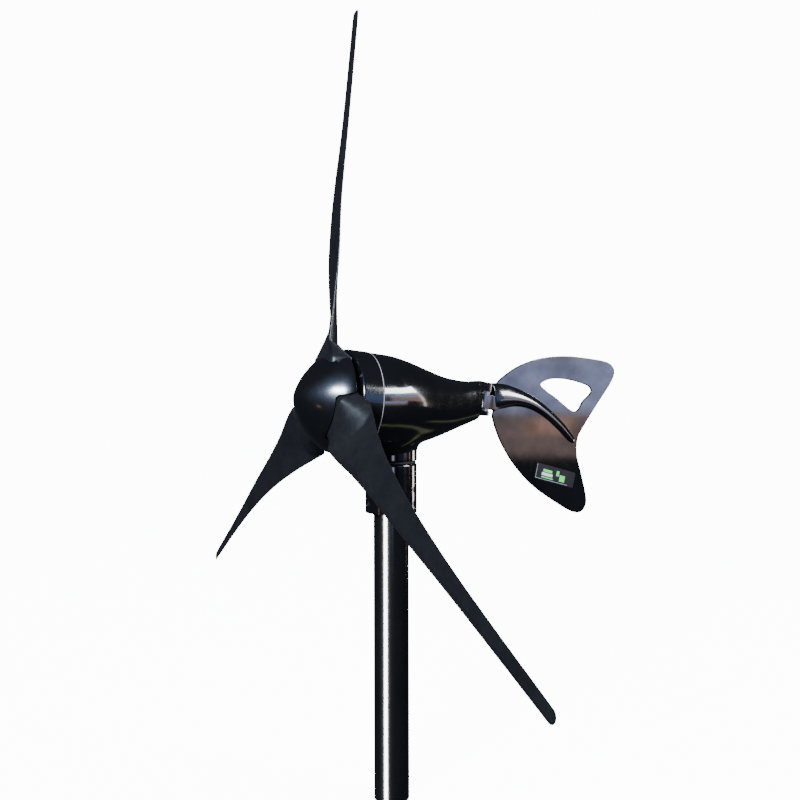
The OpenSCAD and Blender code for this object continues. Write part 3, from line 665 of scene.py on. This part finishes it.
def dome_shell():
    """Thin dome with three blade slots that are open at the rear."""
    shell = Shell()
    low, high = slot_depths(), crown_depths()
    for k in range(3):
        for z0, z1 in zip(low, low[1:]):
            row0, row1 = tooth(k, z0), tooth(k, z1)
            shell.strip(z0, z1, row0, row1)
            for end in (0, -1):
                shell.wall((z0, row0[end]), (z1, row1[end]))
        shell.wall(*[(0, phi) for phi in tooth(k, 0.0)])
        top = bridge(k) + tooth(k, SLOT_DEPTH)
        shell.wall(*[(SLOT_DEPTH, phi) for phi in top[:BRIDGE_STEPS + 1]])
        for z0, z1 in zip(high, high[1:]):
            shell.strip(z0, z1, top, top)
    return make("spinner_skin", shell.verts, shell.faces, on_rotor(SPINNER_A))


def spinner():
    """Dome and the pegs inside it."""
    obj = dome_shell()
    bevel(obj, SPINNER_BEVEL, 3, 50)
    obj.data.shade_smooth()
    pegs = [prism("peg", circle(PEG_R, *spot, n=24), PEG_LOW, PEG_HIGH, on_rotor(SPINNER_A))
            for spot in circle(PEG_SPOT_R, n=3, start=30)]
    for peg in pegs:
        peg.data.set_sharp_from_angle(angle=math.radians(30))
    join(obj, *pegs)
    return finish_piece(obj, "rotor", "spinner", "spinner_gloss")


# ---------------------------------------------------------------- nacelle casting

# Nacelle sections: [y, centre height, half height, half width, lean, squareness]
SHELL_TAB = [
    [-52.9, 4.63, 77.2, 77.2, 5.0, 2.0],
    [-34.0, 4.4, 76.0, 76.0, 4.8, 2.0],
    [-10.0, 4.6, 72.8, 73.5, 4.0, 2.0],
    [18.0, 3.0, 67.4, 67.5, 3.0, 2.0],
    [50.0, 0.6, 58.8, 58.0, 3.0, 2.0],
    [85.0, -0.4, 47.8, 46.5, 4.0, 2.1],
    [115.0, 1.6, 40.0, 37.0, 6.0, 2.2],
    [140.0, 4.8, 35.0, 29.5, 8.0, 2.4],
    [160.0, 8.5, 29.4, 24.0, 0.0, 2.6]]
SHELL_Y = (-52.9, 160.0)
BACK_Y = 156.0
SHELL_WALL = 3.6
SEAT_R = 70.6
SEAT_Y = -40
NECK_R = 40.0
NECK_Z = AXIS_H - 83
HOUSING_R = 32.0
FRONT_A = SEAM_A - 0.4   # front face of the casting, along the rotor axis
NECK_TOP = AXIS_H - 48
BORE_TOP = AXIS_H - 40
NECK_FILLET = 14.0
TAIL_ROUND = 9.0         # rounding of the rear end, outside
SPACE_ROUND = 4.0        # and inside
VOXEL = 1.3


def shell_ring(y, inset=0.0, n=96):
    """One section of the nacelle, with a wall thickness taken off."""
    s = curve(SHELL_TAB, y)
    ring = []
    for i in range(n):
        t = 2 * math.pi * i / n
        u = (s[3] - inset) * sgn_pow(math.cos(t), 2 / s[5])
        v = (s[2] - inset) * sgn_pow(math.sin(t), 2 / s[5])
        lean = math.radians(s[4])
        ring.append((u, y + v * math.sin(lean), AXIS_H + s[1] + v * math.cos(lean)))
    return ring


def seat_ring(y, n=96):
    """Round seat for the generator, in line with the rotor axis."""
    tilt = math.radians(TILT)
    ring = []
    for u, v in circle(SEAT_R, n=n):
        ring.append((u, y + v * math.sin(tilt), AXIS_H - y * math.tan(tilt) + v * math.cos(tilt)))
    return ring


def smooth_min(a, b, k):
    """Smaller of two fields, with a rounded change of width k."""
    h = np.clip(0.5 + 0.5 * (b - a) / k, 0, 1)
    return b * (1 - h) + a * h - k * h * (1 - h)


def smooth_max(a, b, k):
    """Larger of two fields, with a rounded change of width k."""
    return -smooth_min(-a, -b, k)


def station(p):
    """Section position and height within the section of points near the nacelle."""
    y = p[:, 1].copy()
    for _ in range(8):
        s = curve(SHELL_TAB, np.clip(y, *SHELL_Y))
        lean = np.radians(s[:, 4])
        v = (p[:, 2] - AXIS_H - s[:, 1]) / np.cos(lean)
        y = p[:, 1] - v * np.sin(lean)
    return y, v, s


def shell_field(p, wall=0.0, back=SHELL_Y[1]):
    """About the distance from the nacelle's skin, negative inside."""
    y, v, s = station(p)
    tilt, height = math.radians(TILT), p[:, 2] - AXIS_H
    front = height * math.sin(tilt) - p[:, 1] * math.cos(tilt)
    hw, hh, q = s[:, 3] - wall, s[:, 2] - wall, s[:, 5]
    ratio = (np.abs(p[:, 0] / hw) ** q + np.abs(v / hh) ** q) ** (1 / q)
    side = (ratio - 1) * np.minimum(hw, hh)
    if wall:
        seat = np.hypot(p[:, 0], p[:, 1] * math.sin(tilt) + height * math.cos(tilt)) - SEAT_R
        side = np.where(y <= SEAT_Y, seat, side)
    rounded = smooth_max(side, y - back, SPACE_ROUND if wall else TAIL_ROUND)
    if wall:
        return rounded
    return smooth_max(rounded, front - FRONT_A, 0.4)


def casting_field(p):
    """Nacelle shell, neck and the fillet between them, with the space inside taken out."""
    r = np.hypot(p[:, 0], p[:, 1])
    neck = smooth_max(r - NECK_R, p[:, 2] - AXIS_H, 1.0)
    body = smooth_min(shell_field(p), neck, NECK_FILLET)
    body = smooth_max(body, NECK_Z - p[:, 2], 1.2)
    space = shell_field(p, SHELL_WALL, BACK_Y)
    bore = smooth_max(r - HOUSING_R, p[:, 2] - AXIS_H, 1.0)
    return smooth_max(body, -smooth_min(space, bore, 0.3), 0.8)


def snap(points, field, rounds=7):
    """Points moved onto a field's zero surface, and the surface's direction there."""
    h = 0.02
    steps = np.eye(3) * h
    p = points.copy()
    for _ in range(rounds + 1):
        value = field(p)
        grad = np.stack([(field(p + d) - field(p - d)) / (2 * h) for d in steps], 1)
        size = np.maximum(np.linalg.norm(grad, axis=1), 1e-6)
        move = np.clip(value / size, -1.0, 1.0)
        p = p - grad / size[:, None] * move[:, None]
    return p, grad / size[:, None]


def voxels(obj, size):
    """Even mesh of small cells over the whole object; size in millimetres."""
    mod = obj.modifiers.new("voxels", "REMESH")
    mod.mode = "VOXEL"
    mod.voxel_size = size * MM
    mod.adaptivity = 0.0
    return apply_modifiers(obj)


def snap_mesh(obj, field):
    """Puts every vertex on the field's surface and gives it the field's own normal."""
    data = obj.data
    co = np.empty(len(data.vertices) * 3, np.float32)
    data.vertices.foreach_get("co", co)
    p, normal = snap(co.reshape(-1, 3).astype(float) / MM, field)
    data.vertices.foreach_set("co", (p * MM).astype(np.float32).ravel())
    data.update()
    data.shade_smooth()
    data.normals_split_custom_set_from_vertices(normal)


def casting():
    """Hollow casting of the nacelle with its neck, one smooth skin."""
    inner_y = [SHELL_Y[0] - 3, *np.linspace(SHELL_Y[0], BACK_Y, 60)]
    body = loft("nacelle_skin", [shell_ring(y) for y in np.linspace(*SHELL_Y, 60)])
    neck = prism("neck", circle(NECK_R, n=96), NECK_Z, NECK_TOP)
    space = loft("space", [seat_ring(y) if y <= SEAT_Y else shell_ring(y, SHELL_WALL) for y in inner_y])
    bore = prism("bore", circle(HOUSING_R, n=96), NECK_Z - 5, BORE_TOP)
    cut(body, neck, operation="UNION")
    cut(body, space, bore)
    voxels(body, VOXEL)
    snap_mesh(body, casting_field)
    return body


LUG_TOP = (17.5, 32.0)
LUG_LOW = (-22.0, -14.5)
LUG_R = 11.5
LUG_ROOT = (15, 22)      # half width and reach where the lug leaves the casting
BOLT_R = 5
SINK_R = 10
HEAD_SINK = 7            # depths of the recesses for the bolt's head and its nut
NUT_SINK = 4.7


def lug(z, sink_low, sink_high):
    """Hinge lug: flat tongue with a round end, a bored eye and a sink for the bolt's head or nut."""
    wide, reach = LUG_ROOT
    outline = [(wide, -reach)] + circle(LUG_R, n=40, start=0, turn=180) + [(-LUG_R, 0), (-wide, -reach)]
    body = prism("lug", outline, z[0], z[1], on_hinge(), holes=[circle(BOLT_R, n=40)])
    cut(body, prism("sink", circle(SINK_R, n=48), sink_low, sink_high, on_hinge()))
    bevel(body, 1.2, 3, 40)
    body.data.shade_smooth()
    return settle_normals(body)


def nacelle():
    """The casting with its two hinge lugs."""
    body = casting()
    top = lug(LUG_TOP, LUG_TOP[1] - HEAD_SINK, LUG_TOP[1] + 5)
    low = lug(LUG_LOW, LUG_LOW[0] - 5, LUG_LOW[0] + NUT_SINK)
    for obj, name in ((top, "hinge_top_lug"), (low, "hinge_low_lug")):
        obj.name = name
        finish_piece(obj, "nacelle", "nacelle_shell", "body_paint")
    return finish_piece(body, "nacelle", "nacelle_shell", "body_paint")


# ---------------------------------------------------------------- tail

# Tail arm sections: [y, centre height, half height, lean, half thickness]
ARM_TAB = [
    [191.6, 13.6, 23.7, -4.6, 8.5],
    [197, 14.2, 23.4, 4, 9.5],
    [204, 15, 22.4, 8, 10],
    [216, 15.2, 20.6, 10, 10],
    [243, 12.4, 15.4, 19, 9.5],
    [273.5, 3.6, 12.0, 33, 8.5],
    [305.5, -13.8, 10.0, 46, 8],
    [336, -36.8, 9.2, 52, 7.5],
    [360, -59.5, 7.6, 56, 6.5],
    [364.5, -64.3, 5.0, 56, 4.5],
    [366, -66, 2.4, 56, 2.6]]
ARM_Y = (191.6, 356.0, 366.0)        # front end, start of the rounded tip, tip
KNUCKLE_Z = (-10.5, 12.0)
KNUCKLE_W = 9.5                      # half width
KNUCKLE_R = 5.5                      # round front corners
KNUCKLE_REACH = 10                   # from the hinge line to the front and back faces
ROOT_W = 8                           # half width of the part that runs into the arm
ROOT_END = 26
BUSH_R = 7
FIN_T = 4.0
FIN_POINTS = [[199, 35], [216, 50.5], [246, 67], [280, 78], [315, 84], [355, 86], [400, 83.5],
    [444, 78], [461, 68], [463, 55], [452, 36], [424, 3.5], [388, -40], [375.5, -60], [373.5, -88],
    [383, -120], [395, -165], [390, -184], [377, -190.5], [357, -186], [325, -169], [287, -146],
    [257, -122.5], [229, -93], [208, -62], [196, -37], [190, -17], [191.5, -11], [198, 6]]
HOLE_POINTS = [[293, 36], [312, 44.5], [340, 45.5], [370, 41.5], [399, 34], [407, 26], [402, 18],
    [387, 6.5], [377, -7.5], [366, -11], [352, -4.5], [326, 13], [304, 25.5]]


def arm_ring(y, n=64):
    """Egg-shaped section, narrower towards the top edge."""
    s = curve(ARM_TAB, y)
    lean = math.radians(s[3])
    ring = []
    for i in range(n):
        t = 2 * math.pi * i / n
        u, v = s[4] * math.cos(t) * (1 - 0.35 * math.sin(t)), s[2] * math.sin(t)
        ring.append((u, y + v * math.sin(lean), AXIS_H + s[1] + v * math.cos(lean)))
    return ring


def knuckle_outline():
    """Hinge block seen along the hinge: round front corners and a step in to the arm's root."""
    w, r, reach = KNUCKLE_W, KNUCKLE_R, KNUCKLE_REACH
    x, y, step = w - r, r - reach, reach + 2
    front = circle(r, -x, y, 12, 180, 90) + [(-x, -reach)] + circle(r, x, y, 12, 270, 90) + [(w, y)]
    root = [(ROOT_W, step), (ROOT_W, ROOT_END), (-ROOT_W, ROOT_END), (-ROOT_W, step)]
    return front + [(w, reach)] + root + [(-w, reach)]


def tail_arm():
    """Swept arm with the knuckle block of the hinge."""
    front, bend, tip = ARM_Y
    ys = list(np.linspace(front, bend, 100))
    ys += [bend + (tip - bend) * math.sin(math.pi / 2 * k / 10) for k in range(1, 11)]
    arm = loft("tail_arm_skin", [arm_ring(y) for y in ys])
    knuckle = prism("knuckle", knuckle_outline(), *KNUCKLE_Z, on_hinge(), holes=[circle(BUSH_R, n=40)])
    bevel(knuckle, 1.0, 3, 40)
    knuckle.data.shade_smooth()
    join(arm, knuckle)
    settle_normals(arm)
    return finish_piece(arm, "tail", "tail_arm", "body_paint")


def tail_fin():
    """Flat swept fin with its window, edges rounded."""
    fin = prism("tail_fin_skin", loop_curve(FIN_POINTS, 10), -FIN_T / 2, FIN_T / 2, in_fin_plane(),
                [loop_curve(HOLE_POINTS, 10)])
    bevel(fin, 1.2, 4, 40)
    fin.data.shade_smooth()
    return finish_piece(fin, "tail", "tail_fin", "fin_paint")


def fin_label():
    """Plain label with round corners on the side of the fin."""
    w, h, r = *LABEL_SIZE, LABEL_CORNER
    corners = [(w - r, -r, 0), (r, -r, 90), (r, r - h, 180), (w - r, r - h, 270)]
    outline = [p for x, y, start in corners for p in circle(r, x, y, 8, start, 90)]
    place = in_fin_plane() @ Matrix.Translation((*LABEL_PLACE, FIN_T / 2))
    place = place @ Matrix.Rotation(math.radians(LABEL_TURN), 4, "Z")
    label = prism("fin_label_print", outline, 0.0, LABEL_T, place)
    label.data.set_sharp_from_angle(angle=math.radians(30))
    return finish_piece(label, "tail", "fin_label", "label")


# ---------------------------------------------------------------- stage

CAMERA_PLACE = (1.0634, -0.5777, 0.6097)
CAMERA_TURN = (60.82, -0.01, -0.14)  # heading, pitch and roll, degrees
CAMERA_LENS = 35.4
FLOOR_SIZE = 60                      # metres
FLOOR_GLOW = 12.2
BACKDROP = 13.0                      # brightness of the white behind the object
ROOM = (0.020, 0.023, 0.030)         # dim light from all round
GLARE = 10                           # panels weaker than this are patchy
KEY_POWER = 32
TOP_POWER = 28
STRIP_POWER = 700
STRIP_AZIMUTH = -66
STRIP_REACH = 1.6                    # metres from the mast
STRIP_Z = -0.15
STRIP_SIZE = (0.62, 1.9)


def floor():
    """Plain pale floor; it stays out of the object's reflections."""
    bpy.ops.mesh.primitive_plane_add(size=FLOOR_SIZE, location=(0, 0, 0))
    plane = bpy.context.object
    plane.name = "floor"
    mat, tree, bsdf = shader("floor_paper", (0.8, 0.8, 0.8), 0.9)
    paper = blend_colours(tree, noise(tree, 3.0), (0.79, 0.79, 0.79), (0.81, 0.81, 0.81))
    tree.links.new(paper, bsdf.inputs["Base Color"])
    bsdf.inputs["Specular IOR Level"].default_value = 0.0
    bsdf.inputs["Emission Color"].default_value = (1, 1, 1, 1)
    bsdf.inputs["Emission Strength"].default_value = FLOOR_GLOW
    mat.cycles.emission_sampling = "NONE"
    plane.data.materials.append(mat)
    plane.visible_glossy = False
    plane.visible_diffuse = False


# Soft panels of light far around the object. Each is [azimuth range, elevation range, soft edge across,
# soft edge upright, colour, strength], in degrees; azimuth is 0 at +X and 90 at the tail.
PANELS = [
    [(-66, -47), (20, 28), 6, 4, (0.72, 0.86, 1.0), 210.0],         # small window, front right
    [(-88, -28), (8, 44), 20, 18, (0.24, 0.38, 0.80), 1.5],         # its glow
    [(-86, -83), (-11, -7), 2, 2, (1.0, 0.42, 0.22), 5.0],          # warm lamp
    [(5, 33), (0.5, 20), 3, 8, (0.22, 0.34, 0.68), 1.9],            # pale blue wall, right
    [(36, 61), (18.5, 28), 0.8, 0.8, (0.92, 0.96, 1.0), 45.0],      # large window
    [(36, 61), (10, 18.5), 1.0, 1.0, (0.50, 0.60, 0.92), 3.6],      # pale wall under it
    [(36, 61), (3.5, 10), 1.0, 1.5, (0.85, 0.50, 0.40), 3.0],       # warm wall lower down
    [(60, 62.5), (-4, 18), 0.8, 2.0, (1.0, 0.85, 0.78), 7.0],       # bright frame at its side
    [(30, 46), (-0.9, 3.5), 2, 0.5, (0.50, 0.56, 0.90), 4.4],       # sky on the horizon
    [(30, 46), (-4.1, -0.9), 2, 0.4, (0.52, 0.38, 0.35), 2.4],      # brown hedge
    [(38.2, 41.5), (-2.5, -1.3), 0.6, 0.4, (1.0, 0.50, 0.30), 1.6],  # orange patch in it
    [(-50, -14), (-8, -2), 6, 1.0, (0.36, 0.44, 0.66), 1.8],        # blue door
    [(-24, -15), (-8, -2), 3, 1.0, (0.7, 0.78, 1.0), 4.0],          # its bright edge
    [(84, 95), (-8, -1.5), 2, 1.0, (1.0, 0.93, 0.90), 12.0],        # pale wall, rear
    [(38, 104), (-43, -39.5), 6, 0.8, (0.42, 0.44, 0.26), 1.0],     # olive kerb
    [(74, 92), (-31, -28.5), 3, 0.8, (0.42, 0.44, 0.28), 0.9],      # second kerb behind it
]


def between(tree, value, low, high, soft):
    """1 between low and high with smooth edges, 0 outside."""
    masks = []
    for edge, ends in ((low, (0, 1)), (high, (1, 0))):
        node = tree.nodes.new("ShaderNodeMapRange")
        node.interpolation_type = "SMOOTHSTEP"
        node.inputs["From Min"].default_value = edge - soft
        node.inputs["From Max"].default_value = edge + soft
        node.inputs["To Min"].default_value = ends[0]
        node.inputs["To Max"].default_value = ends[1]
        tree.links.new(value, node.inputs["Value"])
        masks.append(node.outputs["Result"])
    return number(tree, "MULTIPLY", *masks)


def surround(tree):
    """Colour of the room in each direction: dim all round, with the panels of light."""
    where = tree.nodes.new("ShaderNodeTexCoord").outputs["Generated"]
    part = tree.nodes.new("ShaderNodeSeparateXYZ")
    tree.links.new(where, part.inputs["Vector"])
    azimuth = number(tree, "DEGREES", number(tree, "ARCTAN2", part.outputs["Y"], part.outputs["X"]))
    height = number(tree, "DEGREES", number(tree, "ARCSINE", part.outputs["Z"]))
    patchy = vary(tree, noise(tree, 30.0, 6.0, 0.65, where), 0.55, 1.25, 0.35, 0.65)
    total = ROOM
    for sides, ends, soft, soft_up, colour, strength in PANELS:
        across = between(tree, azimuth, *sides, soft)
        upright = between(tree, height, *ends, soft_up)
        mask = number(tree, "MULTIPLY", across, upright)
        if strength < GLARE:
            mask = number(tree, "MULTIPLY", mask, patchy)
        add = tree.nodes.new("ShaderNodeVectorMath")
        add.operation = "MULTIPLY_ADD"
        for socket, value in zip(add.inputs, ([c * strength for c in colour], mask, total)):
            plug(tree, socket, value)
        total = add.outputs[0]
    return total


def room():
    """White to the camera; the soft panels light the object."""
    world = bpy.data.worlds.new("studio")
    bpy.context.scene.world = world
    world.use_nodes = True
    tree = world.node_tree
    tree.nodes.clear()
    out = tree.nodes.new("ShaderNodeOutputWorld")
    seen = tree.nodes.new("ShaderNodeBackground")
    lit = tree.nodes.new("ShaderNodeBackground")
    seen.inputs["Color"].default_value = (1, 1, 1, 1)
    seen.inputs["Strength"].default_value = BACKDROP
    tree.links.new(surround(tree), lit.inputs["Color"])
    path = tree.nodes.new("ShaderNodeLightPath")
    both = tree.nodes.new("ShaderNodeMixShader")
    tree.links.new(path.outputs["Is Camera Ray"], both.inputs["Fac"])
    tree.links.new(lit.outputs["Background"], both.inputs[1])
    tree.links.new(seen.outputs["Background"], both.inputs[2])
    tree.links.new(both.outputs["Shader"], out.inputs["Surface"])


def softbox(name, place, target, size, power, colour=(1, 1, 1)):
    """Area light at place, turned to target; metres and watts."""
    light = bpy.data.lights.new(name, "AREA")
    light.shape = "RECTANGLE"
    light.size, light.size_y = size
    light.energy = power
    light.color = colour
    obj = bpy.data.objects.new(name, light)
    bpy.context.scene.collection.objects.link(obj)
    obj.location = place
    obj.rotation_euler = (Vector(target) - Vector(place)).to_track_quat("-Z", "Y").to_euler()
    obj.visible_camera = False
    return obj


def lights():
    """Soft key and top light without glare, and a tall strip for the mast alone."""
    hub = (0, 0, AXIS_H * MM)
    for light in (softbox("key", (1.2, -1.6, 2.2), hub, (0.9, 0.9), KEY_POWER),
                  softbox("top", (0.2, 0.4, 2.8), hub, (1.6, 1.6), TOP_POWER, (0.92, 0.95, 1.0))):
        light.visible_glossy = False
    side = math.radians(STRIP_AZIMUTH)
    place = (STRIP_REACH * math.cos(side), STRIP_REACH * math.sin(side), STRIP_Z)
    strip = softbox("strip", place, (0, 0, STRIP_Z), STRIP_SIZE, STRIP_POWER)
    strip.visible_diffuse = False
    mast = bpy.data.collections.new("mast_only")
    mast.objects.link(nodes["mast_tube"])
    strip.light_linking.receiver_collection = mast
    strip.light_linking.blocker_collection = mast


def camera():
    """Camera at the photo's viewing angle."""
    data = bpy.data.cameras.new("camera")
    data.lens = CAMERA_LENS
    data.sensor_width = 36.0
    obj = bpy.data.objects.new("camera", data)
    bpy.context.scene.collection.objects.link(obj)
    obj.location = CAMERA_PLACE
    heading, pitch, roll = (math.radians(angle) for angle in CAMERA_TURN)
    obj.rotation_euler = (Matrix.Rotation(heading, 3, "Z") @ Matrix.Rotation(math.pi / 2 + pitch, 3, "X")
                          @ Matrix.Rotation(roll, 3, "Z")).to_euler()
    bpy.context.scene.camera = obj


# ---------------------------------------------------------------- build

camera()
floor()
room()
lights()
dress_cad_nodes()
for k in range(3):
    blade(k)
spinner()
nacelle()
tail_arm()
tail_fin()
fin_label()
